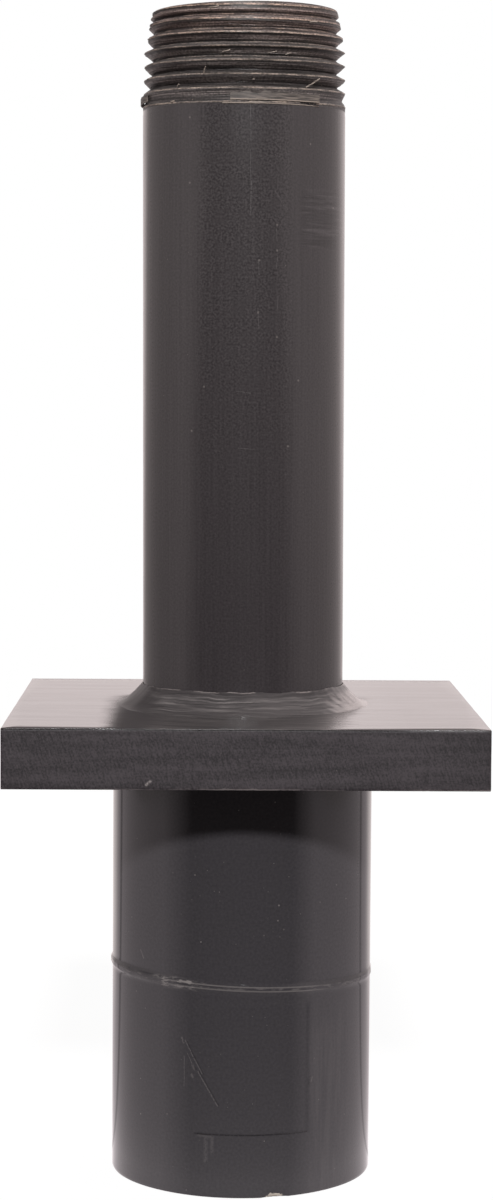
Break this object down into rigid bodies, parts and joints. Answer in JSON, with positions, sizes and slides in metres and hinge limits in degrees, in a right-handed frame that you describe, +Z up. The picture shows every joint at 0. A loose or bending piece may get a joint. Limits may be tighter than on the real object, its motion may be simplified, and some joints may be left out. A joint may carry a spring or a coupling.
{
  "type": "puddle flange pipe",
  "caption": "Threaded plastic pipe welded through a square water-stop plate and cemented into a socket coupling, cast into a concrete slab or tank wall to lead a pipe through.",
  "frame": {"origin": "on the axis of the pipe, at the lower end face of the coupling, which the part stands on", "axes": "+Z up the pipe towards its threaded end, X and Y square to the sides of the plate, the pictured side towards -Y"},
  "size_m": [0.076, 0.076, 0.1927],
  "materials": {
    "extruded_plastic": "satin dark grey, drawn lengthwise, with scuffs and cut swarf on the thread",
    "sheet_plastic": "smooth glossy faces with sawn edges",
    "weld_plastic": "smeared weld with fine drag lines",
    "moulded_plastic": "smooth moulded gloss with fine scratches"
  },
  "bodies": {
    "root": {"threaded_pipe": "extruded_plastic", "flange_plate": "sheet_plastic", "pipe_weld": "weld_plastic", "socket_coupling": "moulded_plastic"}
  },
  "joints": []
}
